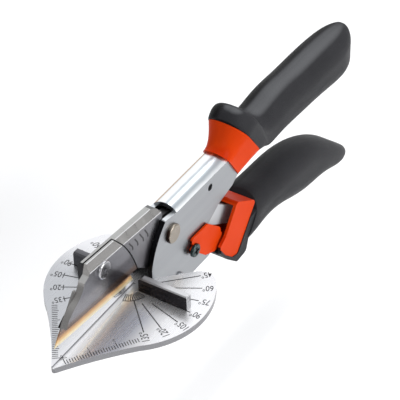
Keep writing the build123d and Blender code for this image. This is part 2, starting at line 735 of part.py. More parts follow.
# Return spring: stands on the arm's flat and presses the arm away from the channel's top
spring_outer = spring_radius + spring_wire
spring_ceiling = (arch_front_z + (spring_x + spring_outer) * arch_slope + arch_centre
                  + sqrt(inner_radius**2 - spring_outer**2) - running_clearance)
spring_height = spring_ceiling - spring_seat_z - 2 * spring_wire - running_clearance
spring_pitch = spring_height / spring_turns
with BuildPart() as return_spring:
    with BuildLine(Plane(origin=(spring_x, 0, spring_seat_z + spring_wire + running_clearance))):
        coil = Helix(pitch=spring_pitch, height=spring_height, radius=spring_radius)
    with BuildSketch(Plane(origin=coil @ 0, z_dir=coil % 0)):
        Circle(spring_wire)
    sweep(path=coil, is_frenet=True)
save(return_spring, "return_spring")

# Safety latch: two wings outside the cheeks, joined by a bridge behind their rear edge
with BuildPart() as latch:
    with BuildSketch(side) as wing_outline:
        with BuildLine():
            Polyline(*scaled(wing_shares, latch_reach, latch_reach, (latch_x, latch_z)), close=True)
        make_face()
        fillet(wing_outline.vertices(), radius=latch_corner_round)
        with Locations((latch_x, latch_z)):
            Circle(latch_hub_radius)
    extrude(amount=wing_outer, both=True)
    with BuildSketch(side):
        with Locations((latch_x, latch_z)):
            Circle(2 * latch_reach)
    extrude(amount=wing_inner, both=True, mode=Mode.SUBTRACT)
    bridge_inner = latch_reach - latch_bridge_depth
    bridge_angles = (-latch_bridge_start, -(latch_bridge_start + latch_bridge_end) / 2, -latch_bridge_end)
    with BuildSketch(side):
        with BuildLine():
            rim = [(latch_x + latch_reach * cos(radians(a)), latch_z + latch_reach * sin(radians(a)))
                   for a in bridge_angles]
            back = [(latch_x + bridge_inner * cos(radians(a)), latch_z + bridge_inner * sin(radians(a)))
                    for a in bridge_angles]
            ThreePointArc(rim[0], rim[1], rim[2])
            Line(rim[2], back[2])
            ThreePointArc(back[2], back[1], back[0])
            Line(back[0], rim[0])
        make_face()
    extrude(amount=wing_outer, both=True)
    with BuildSketch(side):
        with Locations((latch_x, latch_z)):
            Circle(latch_pin_radius + running_clearance)
    extrude(amount=wing_outer + overrun, both=True, mode=Mode.SUBTRACT)
save(latch, "latch")

wing_face = wing_outer + seat_clearance
save(domed_screw(side.offset(wing_face), (latch_x, latch_z), cross_recess, latch_head_radius,
                 latch_head_height, latch_head_round, latch_pin_radius, 2 * wing_face + latch_nut_height),
     "latch_screw")
with BuildPart() as latch_nut:
    with BuildSketch(side.offset(-wing_face)):
        with Locations((latch_x, latch_z)):
            RegularPolygon(radius=latch_nut_flats / 2, side_count=hex_sides, major_radius=False)
            Circle(latch_pin_radius + seat_clearance, mode=Mode.SUBTRACT)
    extrude(amount=-latch_nut_height)
save(latch_nut, "latch_nut")

# Upper handle: an orange collar flaring from the channel to the thumb guard, then the grip
with BuildPart() as upper_collar:
    for plane, half_width, half_depth in upper_ribs(upper_collar_shares):
        with BuildSketch(plane):
            oval(half_width, half_depth)
    loft()
    add(channel_envelope.part, mode=Mode.SUBTRACT)
save(upper_collar, "upper_collar")

with BuildPart() as upper_grip:
    for plane, half_width, half_depth in upper_ribs(upper_rib_shares):
        with BuildSketch(plane):
            oval(half_width, half_depth)
    loft()
    add(channel_envelope.part, mode=Mode.SUBTRACT)
save(upper_grip, "upper_grip")

# Lower handle: an orange collar open at the front round the arm, with a finger guard, then the grip
lower_origin = (lower_start, lower_axis)
with BuildPart() as lower_collar:
    with BuildSketch(swing) as collar_outline:
        with BuildLine():
            Polyline(*scaled(collar_shares, lower_length, lower_depth, lower_origin), close=True)
        make_face()
        fillet(collar_outline.vertices(), radius=collar_round)
    extrude(amount=collar_half, both=True)
    with BuildSketch(swing):
        with BuildLine():
            Polyline(*scaled(cavity_shares, lower_length, lower_depth, lower_origin), close=True)
        make_face()
    extrude(amount=cavity_half, both=True, mode=Mode.SUBTRACT)
    add(lever_arm.part, mode=Mode.SUBTRACT)
save(lower_collar, "lower_collar")

with BuildPart() as lower_grip:
    for plane, half_width, half_depth in lower_ribs(lower_rib_shares):
        with BuildSketch(plane):
            oval(half_width, half_depth)
    loft()
    with BuildSketch(swing) as guard_outline:
        with BuildLine():
            Polyline(*scaled(guard_shares, lower_length, lower_depth, lower_origin), close=True)
        make_face()
        fillet(guard_outline.vertices(), radius=guard_round)
    extrude(amount=guard_half, both=True)
    with BuildSketch(swing) as collar_shadow:
        with BuildLine():
            Polyline(*scaled(collar_shares, lower_length, lower_depth, lower_origin), close=True)
        make_face()
        fillet(collar_shadow.vertices(), radius=collar_round)
    extrude(amount=guard_half + overrun, both=True, mode=Mode.SUBTRACT)
    with BuildSketch(swing):
        Circle(hypot(latch_x - pivot_x, latch_z - pivot_z) + latch_reach + latch_room)
    extrude(amount=cavity_half, both=True, mode=Mode.SUBTRACT)
    add(lever_arm.part, mode=Mode.SUBTRACT)
save(lower_grip, "lower_grip")
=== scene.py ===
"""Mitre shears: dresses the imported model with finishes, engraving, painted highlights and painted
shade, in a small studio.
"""

import logging
from dataclasses import dataclass, field
from enum import Enum
from math import cos, radians, sin
from typing import Iterable, Sequence

import bmesh
import bpy
from mathutils import Matrix, Vector


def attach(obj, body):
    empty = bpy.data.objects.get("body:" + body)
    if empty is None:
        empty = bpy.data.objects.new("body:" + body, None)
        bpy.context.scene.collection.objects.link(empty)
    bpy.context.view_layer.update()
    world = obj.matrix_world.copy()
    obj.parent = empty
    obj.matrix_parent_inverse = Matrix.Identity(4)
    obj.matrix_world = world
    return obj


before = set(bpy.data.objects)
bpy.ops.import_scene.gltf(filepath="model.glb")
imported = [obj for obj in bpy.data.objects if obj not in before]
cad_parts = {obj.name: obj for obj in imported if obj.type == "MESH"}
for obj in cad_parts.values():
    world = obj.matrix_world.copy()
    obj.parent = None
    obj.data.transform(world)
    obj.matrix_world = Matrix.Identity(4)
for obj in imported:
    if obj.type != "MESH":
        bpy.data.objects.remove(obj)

LOG = logging.getLogger("mitre_shears")
MM = 0.001
INK_HEIGHT = 0.02 * MM
Colour = tuple[float, float, float]
Point = tuple[float, float, float]
Flat = tuple[float, float]
Span = tuple[float, float]
Stroke = tuple[Vector, Vector, float]
Material = bpy.types.Material
Node = bpy.types.Node
Piece = bpy.types.Object
Socket = bpy.types.NodeSocket
Tree = bpy.types.ShaderNodeTree


class Side(Enum):
    """The two sides of the blade's line, as the sign of Y."""

    NEAR = -1
    FAR = 1


class MaskBy(Enum):
    """What a mask is measured by, as the output of the texture coordinates."""

    NORMAL = "Normal"
    OBJECT = "Object"


class Brush(Enum):
    """The way that a metal's fine lines run, as the stretch of their noise along X, Y and Z."""

    ALONG = (0.05, 1.0, 1.0)
    ACROSS = (1.0, 0.05, 1.0)
    GROUND = (1.0, 0.06, 0.06)
    NONE = (1.0, 1.0, 1.0)


# Node helpers


def add_node(tree: Tree, kind: str, **settings: object) -> Node:
    """Add a node to a tree.

    Args:
        tree: The tree that gets the node.
        kind: The node's type, without its common first word.
        **settings: Properties of the node by name.

    Returns:
        The new node.
    """
    node = tree.nodes.new(f"ShaderNode{kind}")
    for name, value in settings.items():
        setattr(node, name, value)
    return node


def add_map(tree: Tree, spans: tuple[float, float, float, float], **settings: object) -> Node:
    """Add a node that maps one span of values to another.

    Args:
        tree: The tree that gets the node.
        spans: The low and high value in, then the low and high value out.
        **settings: Properties of the node by name.

    Returns:
        The new node.
    """
    node = add_node(tree, "MapRange", **settings)
    for label, value in zip(("From Min", "From Max", "To Min", "To Max"), spans):
        node.inputs[label].default_value = value
    return node


def join(tree: Tree, *pairs: tuple[Socket, Socket]) -> None:
    """Link each output socket to the input socket beside it."""
    for source, target in pairs:
        tree.links.new(source, target)


def opaque(colour: Colour) -> tuple[float, float, float, float]:
    """A colour with full alpha, as a colour socket takes it."""
    return (*colour, 1.0)


def new_material(name: str) -> tuple[Material, Tree, Node]:
    """Make a node material.

    Args:
        name: The material's name.

    Returns:
        The material, its tree and its shader.
    """
    made = bpy.data.materials.new(name)
    made.use_nodes = True
    return made, made.node_tree, made.node_tree.nodes["Principled BSDF"]


# Shader node groups


@dataclass
class GroupBook:
    """Builds each shared effect once and hands out the same node group after that."""

    line_scale: float = 2500.0
    line_detail: float = 4.0
    line_roughness: float = 0.65
    streak_detail: float = 2.0
    streak_share: float = 0.16
    grain_scale: float = 1800.0
    patch_scale: float = 90.0
    patch_detail: float = 3.0
    waver_scale: float = 160.0
    waver_detail: float = 1.0
    waver_middle: float = 0.5
    groups: dict[str, Tree] = field(default_factory=dict)

    def _new(self, name: str, inputs: Sequence[tuple[str, str, object]],
             outputs: Sequence[str]) -> tuple[Tree, Node, Node]:
        """Make an empty group with its sockets.

        Args:
            name: The group's name.
            inputs: Name, socket type and default of each input.
            outputs: Name of each output, which is a value.

        Returns:
            The tree, its input node and its output node.
        """
        tree = bpy.data.node_groups.new(name, "ShaderNodeTree")
        for label, kind, default in inputs:
            socket = tree.interface.new_socket(name=label, in_out="INPUT", socket_type=kind)
            socket.default_value = default
        for label in outputs:
            tree.interface.new_socket(name=label, in_out="OUTPUT", socket_type="NodeSocketFloat")
        self.groups[name] = tree
        return tree, tree.nodes.new("NodeGroupInput"), tree.nodes.new("NodeGroupOutput")

    def brushed(self) -> Tree:
        """Fine drawn lines on metal.

        Returns:
            The group, with the lines' height and a mask of wider streaks.
        """
        name = "BrushedLines"
        if name in self.groups:
            return self.groups[name]
        tree, given, out = self._new(
            name,
            (
                ("Scale", "NodeSocketFloat", self.line_scale),
                ("Stretch", "NodeSocketVector", (1.0, 1.0, 1.0)),
            ),
            ("Height", "Streaks"),
        )
        place = add_node(tree, "TexCoord")
        stretch = add_node(tree, "VectorMath", operation="MULTIPLY")
        fine = add_node(tree, "TexNoise")
        fine.inputs["Detail"].default_value = self.line_detail
        fine.inputs["Roughness"].default_value = self.line_roughness
        wide = add_node(tree, "TexNoise")
        wide.inputs["Detail"].default_value = self.streak_detail
        slower = add_node(tree, "Math", operation="MULTIPLY")
        slower.inputs[1].default_value = self.streak_share
        join(
            tree,
            (place.outputs["Object"], stretch.inputs[0]),
            (given.outputs["Stretch"], stretch.inputs[1]),
            (stretch.outputs[0], fine.inputs["Vector"]),
            (stretch.outputs[0], wide.inputs["Vector"]),
            (given.outputs["Scale"], fine.inputs["Scale"]),
            (given.outputs["Scale"], slower.inputs[0]),
            (slower.outputs[0], wide.inputs["Scale"]),
            (fine.outputs["Fac"], out.inputs["Height"]),
            (wide.outputs["Fac"], out.inputs["Streaks"]),
        )
        return tree

    def grain(self) -> Tree:
        """Fine moulded grain on plastic or rubber.

        Returns:
            The group, with the height of small cells and a mask of slow patches.
        """
        name = "MouldedGrain"
        if name in self.groups:
            return self.groups[name]
        tree, given, out = self._new(
            name,
            (
                ("Scale", "NodeSocketFloat", self.grain_scale),
                ("Ripple", "NodeSocketFloat", self.patch_scale),
            ),
            ("Height", "Patches"),
        )
        place = add_node(tree, "TexCoord")
        cells = add_node(tree, "TexVoronoi")
        slow = add_node(tree, "TexNoise")
        slow.inputs["Detail"].default_value = self.patch_detail
        join(
            tree,
            (place.outputs["Object"], cells.inputs["Vector"]),
            (place.outputs["Object"], slow.inputs["Vector"]),
            (given.outputs["Scale"], cells.inputs["Scale"]),
            (given.outputs["Ripple"], slow.inputs["Scale"]),
            (cells.outputs["Distance"], out.inputs["Height"]),
            (slow.outputs["Fac"], out.inputs["Patches"]),
        )
        return tree

    def mask(self, by: MaskBy) -> Tree:
        """A mask that grows along a direction, of the surface's normal or of its place on the part.

        Args:
            by: Whether the normal or the place is measured.

        Returns:
            The group, whose mask goes from 0 at Start to 1 at End.
        """
        name = f"MaskBy{by.name.title()}"
        if name in self.groups:
            return self.groups[name]
        tree, given, out = self._new(
            name,
            (
                ("Toward", "NodeSocketVector", (0.0, 0.0, 1.0)),
                ("Start", "NodeSocketFloat", 0.0),
                ("End", "NodeSocketFloat", 1.0),
                ("Waver", "NodeSocketFloat", 0.0),
                ("Ripple", "NodeSocketFloat", self.waver_scale),
            ),
            ("Mask",),
        )
        place = add_node(tree, "TexCoord")
        along_way = add_node(tree, "VectorMath", operation="DOT_PRODUCT")
        noise = add_node(tree, "TexNoise")
        noise.inputs["Detail"].default_value = self.waver_detail
        centred = add_node(tree, "Math", operation="SUBTRACT")
        centred.inputs[1].default_value = self.waver_middle
        moved = add_node(tree, "Math", operation="MULTIPLY_ADD")
        ramp = add_node(tree, "MapRange", interpolation_type="SMOOTHSTEP")
        join(
            tree,
            (place.outputs[by.value], along_way.inputs[0]),
            (given.outputs["Toward"], along_way.inputs[1]),
            (place.outputs["Object"], noise.inputs["Vector"]),
            (given.outputs["Ripple"], noise.inputs["Scale"]),
            (noise.outputs["Fac"], centred.inputs[0]),
            (centred.outputs[0], moved.inputs[0]),
            (given.outputs["Waver"], moved.inputs[1]),
            (along_way.outputs["Value"], moved.inputs[2]),
            (moved.outputs[0], ramp.inputs["Value"]),
            (given.outputs["Start"], ramp.inputs["From Min"]),
            (given.outputs["End"], ramp.inputs["From Max"]),
            (ramp.outputs["Result"], out.inputs["Mask"]),
        )
        return tree


BOOK = GroupBook()
NOISE_SPAN: Span = (0.25, 0.75)


def place_group(tree: Tree, group: Tree, **values: object) -> Node:
    """Put a shared effect into a material with its own values.

    Args:
        tree: The material's node tree.
        group: The shared effect.
        **values: Input values by socket name.

    Returns:
        The group node.
    """
    node = add_node(tree, "Group", node_tree=group)
    for label, value in values.items():
        node.inputs[label].default_value = value
    return node


def mix_colours(tree: Tree, first: Colour, second: Colour, mask: Socket) -> Socket:
    """Blend two colours by a mask.

    Args:
        tree: The material's node tree.
        first: The colour where the mask is 0.
        second: The colour where the mask is 1.
        mask: The mask's socket.

    Returns:
        The socket of the blended colour.
    """
    node = add_node(tree, "Mix", data_type="RGBA")
    node.inputs["A"].default_value = opaque(first)
    node.inputs["B"].default_value = opaque(second)
    join(tree, (mask, node.inputs["Factor"]))
    return node.outputs["Result"]


def spread(tree: Tree, mask: Socket, low: float, high: float) -> Socket:
    """Turn a noise mask into values from low to high.

    Args:
        tree: The material's node tree.
        mask: The mask's socket, of which the middle of its span is used.
        low: The value at the low end of the span.
        high: The value at the high end of the span.

    Returns:
        The socket of the value.
    """
    node = add_map(tree, (*NOISE_SPAN, low, high))
    join(tree, (mask, node.inputs["Value"]))
    return node.outputs["Result"]


def bump(tree: Tree, shader: Node, height: Socket, depth: float) -> None:
    """Feed a height into the shader's normal.

    Args:
        tree: The material's node tree.
        shader: The material's shader.
        height: The socket of the height, from 0 to 1.
        depth: The depth of the relief in metres.
    """
    node = add_node(tree, "Bump")
    node.inputs["Strength"].default_value = 1.0
    node.inputs["Distance"].default_value = depth
    join(tree, (height, node.inputs["Height"]), (node.outputs["Normal"], shader.inputs["Normal"]))


@dataclass(frozen=True)
class Mask:
    """Where a tone lies: from start to end along a direction of the normal or of the place."""

    by: MaskBy
    toward: Point
    start: float
    end: float
    waver: float = 0.0

    def lay(self, tree: Tree) -> Socket:
        """Put the mask into a material.

        Args:
            tree: The material's node tree.

        Returns:
            The mask's socket.
        """
        node = place_group(tree, BOOK.mask(self.by), Toward=self.toward, Start=self.start,
                           End=self.end, Waver=self.waver)
        return node.outputs["Mask"]


@dataclass(frozen=True)
class Tone:
    """A colour laid over a finish where all of its masks meet."""

    where: str
    colour: Colour
    masks: tuple[Mask, ...]

    def lay(self, tree: Tree, under: Socket) -> Socket:
        """Lay the tone over a colour socket.

        Args:
            tree: The material's node tree.
            under: The colour so far.

        Returns:
            The colour socket with the tone on it.
        """
        first, *others = self.masks
        whole = first.lay(tree)
        for mask in others:
            next_mask = mask.lay(tree)
            both = add_node(tree, "Math", operation="MULTIPLY")
            join(tree, (whole, both.inputs[0]), (next_mask, both.inputs[1]))
            whole = both.outputs[0]
        over = add_node(tree, "Mix", data_type="RGBA", label=self.where)
        over.inputs["B"].default_value = opaque(self.colour)
        join(tree, (under, over.inputs["A"]), (whole, over.inputs["Factor"]))
        return over.outputs["Result"]


@dataclass(frozen=True)
class MetalFinish:
    """A metal surface with drawn lines, streaks and tones by facing or place; many of the tones are
    painted light, shade and reflections.
    """

    name: str
    colour: Colour
    streak: Colour
    roughness: Span
    brush: Brush = Brush.NONE
    line_scale: float = 2500.0
    line_depth: float = 0.004 * MM
    metallic: float = 1.0
    tones: tuple[Tone, ...] = ()

    def make(self) -> Material:
        """Build the material.

        Returns:
            The material.
        """
        made, tree, shader = new_material(self.name)
        lines = place_group(tree, BOOK.brushed(), Scale=self.line_scale, Stretch=self.brush.value)
        colour = mix_colours(tree, self.colour, self.streak, lines.outputs["Streaks"])
        for tone in self.tones:
            colour = tone.lay(tree, colour)
        roughness = spread(tree, lines.outputs["Streaks"], *self.roughness)
        join(tree, (colour, shader.inputs["Base Color"]), (roughness, shader.inputs["Roughness"]))
        bump(tree, shader, lines.outputs["Height"], self.line_depth)
        shader.inputs["Metallic"].default_value = self.metallic
        return made


@dataclass(frozen=True)
class MouldedFinish:
    """A moulded plastic or rubber surface with a fine grain and tones of painted shade and sheen.
    """

    name: str
    colour: Colour
    patch: Colour
    roughness: Span
    grain_scale: float
    grain_depth: float
    specular: float
    tones: tuple[Tone, ...] = ()

    def make(self) -> Material:
        """Build the material.

        Returns:
            The material.
        """
        made, tree, shader = new_material(self.name)
        grain = place_group(tree, BOOK.grain(), Scale=self.grain_scale)
        colour = mix_colours(tree, self.colour, self.patch, grain.outputs["Patches"])
        for tone in self.tones:
            colour = tone.lay(tree, colour)
        roughness = spread(tree, grain.outputs["Patches"], *self.roughness)
        join(tree, (colour, shader.inputs["Base Color"]), (roughness, shader.inputs["Roughness"]))
        bump(tree, shader, grain.outputs["Height"], self.grain_depth)
        shader.inputs["Specular IOR Level"].default_value = self.specular
        return made


@dataclass(frozen=True)
class Ink:
    """The dark filling of engraved lines, numbers and marks, with lighter patches."""

    name: str = "engraving_ink"
    colour: Colour = (0.008, 0.008, 0.010)
    lighter: float = 2.0
    grain_scale: float = 3000.0
    roughness: float = 0.5

    def make(self) -> Material:
        """Build the material.

        Returns:
            The material.
        """
        made, tree, shader = new_material(self.name)
        grain = place_group(tree, BOOK.grain(), Scale=self.grain_scale)
        patch = tuple(self.lighter * part for part in self.colour)
        colour = mix_colours(tree, self.colour, patch, grain.outputs["Patches"])
        join(tree, (colour, shader.inputs["Base Color"]))
        shader.inputs["Roughness"].default_value = self.roughness
        return made


# Directions of the part, and of the blade's own frame, which is swung open about the pivot.
# BAND crosses the painted bluish reflection beside the blade. UPPER_LIGHT and COLLAR_SHADE face the
# painted sheen along the upper grip and the painted shade on the upper collar.

UP: Point = (0.0, 0.0, 1.0)
FRONT: Point = (-1.0, 0.0, 0.0)
NEAR: Point = (0.0, -1.0, 0.0)
FAR: Point = (0.0, 1.0, 0.0)
BAND: Point = (0.104, -0.995, 0.0)
UPPER_LIGHT: Point = (-0.1, -0.15, 0.98)
COLLAR_SHADE: Point = (-0.1, -0.45, 0.89)
OPEN_ANGLE = radians(6.1)
PIVOT: Flat = (21.2 * MM, 12.6 * MM)
BLADE_UP: Point = (sin(OPEN_ANGLE), 0.0, cos(OPEN_ANGLE))
BLADE_RUN: Point = (cos(OPEN_ANGLE), 0.0, -sin(OPEN_ANGLE))
PIVOT_RISE = PIVOT[0] * BLADE_UP[0] + PIVOT[1] * BLADE_UP[2]
PIVOT_RUN = PIVOT[0] * BLADE_RUN[0] + PIVOT[1] * BLADE_RUN[2]


def facing(toward: Point, start: float, end: float, waver: float = 0.0) -> Mask:
    """A mask by the surface's normal."""
    return Mask(MaskBy.NORMAL, toward, start, end, waver)


def along(toward: Point, start: float, end: float, waver: float = 0.0) -> Mask:
    """A mask by the place along a direction of the part, in millimetres."""
    return Mask(MaskBy.OBJECT, toward, start * MM, end * MM, waver * MM)


def rise(start: float, end: float, waver: float = 0.0) -> Mask:
    """A mask by the height above the pivot in the blade's frame, in millimetres."""
    return Mask(MaskBy.OBJECT, BLADE_UP, PIVOT_RISE + start * MM, PIVOT_RISE + end * MM, waver * MM)


def run(start: float, end: float, waver: float = 0.0) -> Mask:
    """A mask by the run from the pivot in the blade's frame, in millimetres."""
    return Mask(MaskBy.OBJECT, BLADE_RUN, PIVOT_RUN + start * MM, PIVOT_RUN + end * MM, waver * MM)


FLAT_TOP = facing(UP, 0.75, 0.9)
ROUND_TOP = facing(UP, 0.3, 0.5)
BEVEL_TOP = facing(UP, 0.12, 0.3)
NEAR_FACE = facing(NEAR, 0.8, 0.95)
FRONT_FACE = facing(FRONT, 0.35, 0.6)
NEAR_HALF = along(NEAR, -1.0, 1.0)
FAR_HALF = along(FAR, -1.0, 1.0)
# Painted shade for hollows and for ends and edges turned from the light; painted light for the
# blade head's bevels and crowns.
PAINTED_SHADE: Colour = (0.016, 0.016, 0.018)
PAINTED_BEVEL_LIGHT: Colour = (0.40, 0.39, 0.38)
PAINTED_CROWN_LIGHT: Colour = (0.40, 0.40, 0.39)

LEAF_STEEL = MetalFinish(
    "leaf_steel", (0.86, 0.86, 0.87), (0.78, 0.78, 0.80), (0.22, 0.32), Brush.ALONG, 2200.0,
    metallic=0.8,
    tones=(
        Tone("shaded far side", (0.50, 0.51, 0.53),
             (FLAT_TOP, along(FAR, -1.0, 7.0, 1.0), along(FRONT, -16.0, 8.0, 3.0))),
        # Painted reflection: a cool band across the plate's top on the near side.
        Tone("painted cool reflection on the near side", (0.66, 0.69, 0.78),
             (FLAT_TOP, along(NEAR, 1.5, 6.0, 1.0), along(NEAR, 19.0, 11.0, 2.0),
              along(FRONT, 4.0, 14.0, 3.0))),
        # Painted reflection: a bluish line on the plate's top beside the blade.
        Tone("painted blue reflection beside the blade", (0.52, 0.60, 0.76),
             (FLAT_TOP, along(BAND, 0.5, 1.5, 0.2), along(BAND, 3.6, 2.2, 0.4),
              along(FRONT, 4.0, 12.0))),
        Tone("dark rim", (0.23, 0.23, 0.24), (facing(UP, 0.75, 0.5),)),
    ),
)
# The fence's near-black colour stands for a dark reflection on its faces; its tones paint light on
# the top and the near end, and paint the far fence lighter.
FENCE_STEEL = MetalFinish(
    "fence_steel", (0.030, 0.028, 0.032), (0.055, 0.050, 0.055), (0.22, 0.34), Brush.ACROSS,
    tones=(
        Tone("painted light on the top", (0.62, 0.62, 0.63), (facing(UP, 0.35, 0.6), NEAR_HALF)),
        Tone("painted light on the near end", (0.50, 0.50, 0.51), (facing(NEAR, 0.5, 0.8), NEAR_HALF)),
        Tone("painted lighter far fence", (0.14, 0.14, 0.15), (FAR_HALF,)),
    ),
)
CHANNEL_STEEL = MetalFinish(
    "channel_steel", (0.315, 0.325, 0.340), (0.290, 0.300, 0.315), (0.26, 0.36),
    Brush.ALONG, 1600.0,
    tones=(
        # Painted reflections on the rounded top: white, with a grey band on the near side and an
        # amber line on the far side.
        Tone("painted bright reflection on the arch", (0.93, 0.95, 0.96), (ROUND_TOP,)),
        Tone("painted grey reflection band on the arch", (0.44, 0.48, 0.51),
             (ROUND_TOP, facing(NEAR, -0.10, 0.12, 0.1), facing(NEAR, 0.80, 0.55, 0.1))),
        Tone("painted amber reflection on the far side", (0.36, 0.20, 0.06), (facing(UP, 0.2, 0.4), facing(FAR, 0.46, 0.66))),
        # Painted shade on the cheeks' front edges, on the inner faces of the cheeks and under the
        # arch.
        Tone("front edge", PAINTED_SHADE, (facing(FRONT, 0.4, 0.6), along(FRONT, -23.5, -22.5))),
        Tone("painted shade inside the near cheek", PAINTED_SHADE,
             (facing(FAR, 0.3, 0.7), along(FAR, 0.5, -0.5))),
        Tone("painted shade inside the far cheek", PAINTED_SHADE,
             (facing(NEAR, 0.3, 0.7), along(FAR, -0.5, 0.5))),
        Tone("painted shade under the arch", PAINTED_SHADE, (facing(UP, -0.3, -0.6), along(UP, 14.0, 16.0))),
    ),
)
BLOCK_STEEL = MetalFinish(
    "block_steel", (0.42, 0.43, 0.45), (0.32, 0.33, 0.35), (0.35, 0.5), Brush.ALONG)
ARM_STEEL = MetalFinish(
    "arm_steel", (0.52, 0.55, 0.57), (0.48, 0.51, 0.53), (0.40, 0.50), Brush.ALONG, metallic=0.0,
    # Painted shade on the arm where it runs into the channel.
    tones=(Tone("painted shade inside the channel", PAINTED_SHADE, (along(FRONT, -34.0, -32.0),)),),
)
CARRIER_STEEL = MetalFinish(
    "carrier_steel", (0.20, 0.195, 0.21), (0.155, 0.155, 0.165), (0.24, 0.36), Brush.GROUND, 2600.0,
    tones=(
        # Painted light on the bevel and the crown; painted shade low at the rear by the channel, on
        # the front end and on the rear end.
        Tone("painted light on the bevel", PAINTED_BEVEL_LIGHT, (BEVEL_TOP,)),
        Tone("painted light on the crown", PAINTED_CROWN_LIGHT, (FLAT_TOP,)),
        Tone("painted shade low at the rear", (0.10, 0.095, 0.105),
             (NEAR_FACE, rise(6.0, -2.0, 3.0), run(-24.0, -14.0))),
        Tone("front end", PAINTED_SHADE, (FRONT_FACE,)),
        Tone("painted shade on the rear end", PAINTED_SHADE, (facing(FRONT, -0.25, -0.5),)),
    ),
)
CLAMP_STEEL = MetalFinish(
    "clamp_steel", (0.24, 0.235, 0.25), (0.17, 0.17, 0.185), (0.16, 0.26),
    Brush.ALONG, 1200.0, 0.002 * MM, metallic=0.8,
    tones=(
        # Painted reflections on the near face: lighter on the lower half, darker at the rear.
        Tone("painted lighter reflection on the lower half", (0.30, 0.29, 0.295), (NEAR_FACE, rise(4.6, 0.5, 3.0))),
        Tone("painted dark reflection at the rear", (0.09, 0.085, 0.095),
             (NEAR_FACE, run(-43.0, -36.0, 5.0), rise(5.0, 2.0, 2.0))),
        Tone("warm foot", (0.24, 0.165, 0.12), (NEAR_FACE, rise(-1.6, -4.6, 0.6))),
        Tone("dark warm rear of the foot", (0.085, 0.050, 0.038),
             (NEAR_FACE, rise(-1.0, -4.0, 0.6), run(-44.0, -36.0, 3.0))),
        # Painted light on the bevel, the crown and the front face.
        Tone("painted light on the bevel", PAINTED_BEVEL_LIGHT, (BEVEL_TOP,)),
        Tone("painted light on the crown", PAINTED_CROWN_LIGHT, (FLAT_TOP,)),
        Tone("painted light on the front face", (0.32, 0.31, 0.30), (FRONT_FACE,)),
    ),
)
BLADE_STEEL = MetalFinish(
    "blade_steel", (0.30, 0.295, 0.29), (0.26, 0.255, 0.25), (0.16, 0.26),
    Brush.ALONG, 1500.0, 0.002 * MM, metallic=0.65,
    tones=(
        Tone("brown above the bevel", (0.34, 0.20, 0.13), (rise(-5.4, -8.0, 0.5),)),
        Tone("amber bevel", (0.60, 0.33, 0.15), (rise(-7.9, -9.3, 0.5),)),
        Tone("gold bevel", (0.95, 0.60, 0.26), (rise(-9.0, -10.4, 0.4),)),
        Tone("pale edge", (1.0, 0.86, 0.56), (rise(-10.4, -11.6, 0.3),)),
        Tone("dark rear", (0.10, 0.055, 0.040), (run(-38.0, -30.0, 3.0), rise(-9.8, -8.2, 0.5))),
    ),
)
# Painted highlight: the bright finish of the thin strips along the blade head's edges.
PAINTED_HIGHLIGHT_STEEL = MetalFinish(
    "painted_edge_highlight", (0.62, 0.62, 0.63), (0.54, 0.54, 0.55), (0.35, 0.45), Brush.ALONG, metallic=0.2)
SCREW_STEEL = MetalFinish("screw_steel", (0.46, 0.46, 0.47), (0.36, 0.36, 0.38), (0.14, 0.26))
RIVET_STEEL = MetalFinish("rivet_steel", (0.38, 0.39, 0.41), (0.33, 0.34, 0.36), (0.26, 0.36))
PIVOT_STEEL = MetalFinish(
    "pivot_steel", (0.30, 0.265, 0.225), (0.25, 0.22, 0.185), (0.25, 0.38),
    # Painted shade on the front-facing side of the head's rim.
    tones=(Tone("painted shade on the front of the rim", (0.035, 0.020, 0.016), (facing(FRONT, 0.45, 0.7),)),),
)
DARK_STEEL = MetalFinish("dark_steel", (0.050, 0.075, 0.075), (0.03, 0.04, 0.042), (0.2, 0.34))
SPRING_STEEL = MetalFinish("spring_wire", (0.45, 0.45, 0.46), (0.35, 0.35, 0.36), (0.3, 0.45))
BUSH_BRASS = MetalFinish("bush_brass", (0.72, 0.55, 0.28), (0.6, 0.45, 0.22), (0.25, 0.4))
ORANGE = MouldedFinish(
    "orange_plastic", (0.56, 0.042, 0.003), (0.50, 0.036, 0.003), (0.30, 0.42), 2400.0, 0.01 * MM,
    specular=0.03,
    tones=(
        Tone("shaded collar top", (0.44, 0.024, 0.0015),
             (facing(COLLAR_SHADE, 0.60, 1.0), along(UP, 4.0, 6.0))),
        # Painted shade on the roof of the lower collar and on faces turned to the front.
        Tone("painted shade on the roof of the lower collar", (0.38, 0.018, 0.001),
             (facing(UP, 0.75, 0.92), along(UP, 1.0, -1.0))),
        Tone("painted shade on the front rim", (0.030, 0.004, 0.002),
             (facing(FRONT, 0.85, 0.97), along(FRONT, -59.6, -58.8))),
    ),
)
GRIP = MouldedFinish(
    "grip_rubber", (0.017, 0.017, 0.019), (0.026, 0.026, 0.029), (0.42, 0.52), 2600.0, 0.10 * MM,
    specular=0.08,
    tones=(
        Tone("sheen on the upper grip", (0.085, 0.087, 0.092),
             (facing(UPPER_LIGHT, 0.90, 1.0), along(UP, 16.0, 20.0))),
        # Painted shade on the faces turned to the far side and to the front.
        Tone("painted shade on the far side", (0.002, 0.002, 0.0025), (facing(FAR, 0.10, 0.40),)),
        Tone("painted shade on the grips' front ends", (0.003, 0.003, 0.0035), (facing(FRONT, 0.85, 0.97),)),
    ),
)
ENGRAVING_INK = Ink()
MARK_INK = Ink("carrier_mark_ink", (0.005, 0.005, 0.006))
# Painted shade: a dark disc stands in for the recess in the clamp screw's head.
DIMPLE_SHADE = Ink("dimple_shade", (0.03, 0.03, 0.034))


# Mesh helpers


